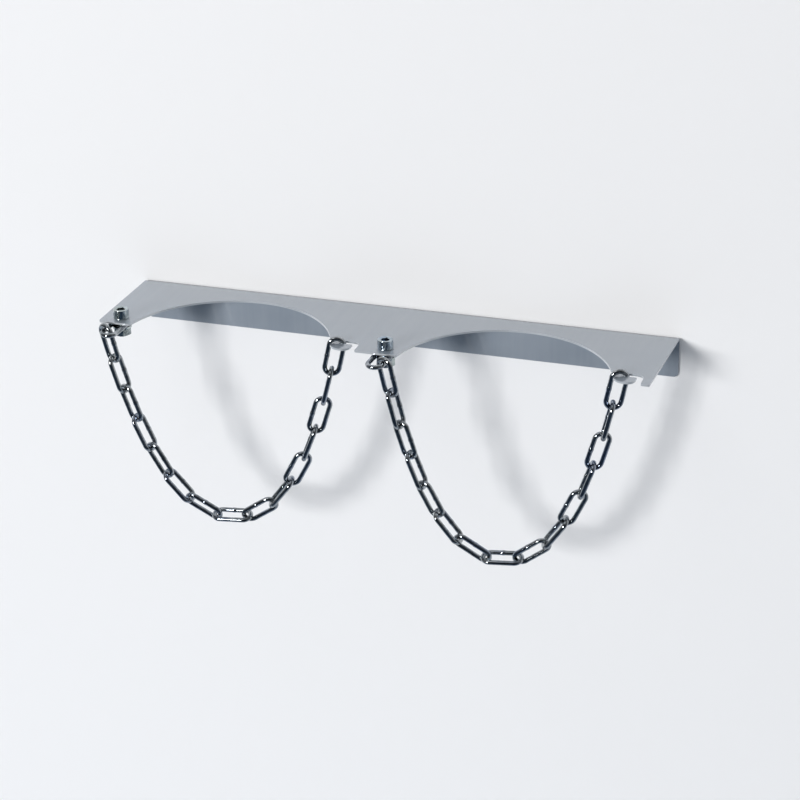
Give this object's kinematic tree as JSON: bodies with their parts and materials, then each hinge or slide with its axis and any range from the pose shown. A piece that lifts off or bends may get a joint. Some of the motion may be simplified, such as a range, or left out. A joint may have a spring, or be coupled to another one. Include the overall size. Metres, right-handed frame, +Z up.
{
  "type": "gas cylinder bracket",
  "caption": "Wall shelf of folded sheet steel with two round bays, each closed by a retaining chain bolted under the shelf and dropped into a hook slot.",
  "frame": {"origin": "middle wall hole, on the rear face that meets the wall", "axes": "+X along the wall to the viewer's right, +Y into the wall, +Z up"},
  "size_m": [0.586, 0.1408, 0.2318],
  "materials": {
    "sheet": "satin, bright galvanised sheet",
    "fastener_steel": "bright zinc plate",
    "chain_steel": "bright zinc plate, polished by handling"
  },
  "bodies": {
    "shelf": {"bracket": "sheet", "left_screw": "fastener_steel", "right_screw": "fastener_steel", "left_washer": "fastener_steel", "right_washer": "fastener_steel", "left_nut": "fastener_steel", "right_nut": "fastener_steel", "left_fixing_link": "chain_steel", "right_fixing_link": "chain_steel"},
    "left_top_link": {"chain_left_link_01": "chain_steel"},
    "left_belly": {"chain_left_link_02": "chain_steel", "chain_left_link_03": "chain_steel", "chain_left_link_04": "chain_steel", "chain_left_link_05": "chain_steel", "chain_left_link_06": "chain_steel", "chain_left_link_07": "chain_steel", "chain_left_link_08": "chain_steel", "chain_left_link_09": "chain_steel", "chain_left_link_10": "chain_steel", "chain_left_link_11": "chain_steel", "chain_left_link_12": "chain_steel", "chain_left_link_13": "chain_steel", "chain_left_link_14": "chain_steel"},
    "left_hook_link": {"chain_left_link_15": "chain_steel"},
    "right_top_link": {"chain_right_link_01": "chain_steel"},
    "right_belly": {"chain_right_link_02": "chain_steel", "chain_right_link_03": "chain_steel", "chain_right_link_04": "chain_steel", "chain_right_link_05": "chain_steel", "chain_right_link_06": "chain_steel", "chain_right_link_07": "chain_steel", "chain_right_link_08": "chain_steel", "chain_right_link_09": "chain_steel", "chain_right_link_10": "chain_steel", "chain_right_link_11": "chain_steel", "chain_right_link_12": "chain_steel", "chain_right_link_13": "chain_steel", "chain_right_link_14": "chain_steel"},
    "right_hook_link": {"chain_right_link_15": "chain_steel"}
  },
  "joints": [
    {"name": "left_chain_swing", "type": "hinge", "parent": "shelf", "child": "left_top_link", "pos_m": [-0.28235, -0.12606, 0.02058], "axis": [0.9969, 0.0791, 0.0031], "range_deg": [-12, 5]},
    {"name": "left_belly_swing", "type": "hinge", "parent": "left_top_link", "child": "left_belly", "pos_m": [-0.27266, -0.12642, -0.01932], "axis": [0.996, 0.0858, 0.0236], "range_deg": [-20, 25]},
    {"name": "left_hook_rock", "type": "hinge", "parent": "shelf", "child": "left_hook_link", "pos_m": [-0.03488, -0.10641, 0.02135], "axis": [0.9969, 0.0791, 0.0031], "range_deg": [-12, 5]},
    {"name": "right_chain_swing", "type": "hinge", "parent": "shelf", "child": "right_top_link", "pos_m": [0.02265, -0.12737, 0.02059], "axis": [0.996, 0.0898, 0.0033], "range_deg": [-12, 5]},
    {"name": "right_belly_swing", "type": "hinge", "parent": "right_top_link", "child": "right_belly", "pos_m": [0.03141, -0.12771, -0.01951], "axis": [0.995, 0.0968, 0.0251], "range_deg": [-20, 25]},
    {"name": "right_hook_rock", "type": "hinge", "parent": "shelf", "child": "right_hook_link", "pos_m": [0.25511, -0.10641, 0.02135], "axis": [0.996, 0.0898, 0.0033], "range_deg": [-12, 5]}
  ],
  "couplings": [
    {"joint": "left_hook_rock", "follows": "left_chain_swing", "ratio": 1},
    {"joint": "right_hook_rock", "follows": "right_chain_swing", "ratio": 1}
  ]
}
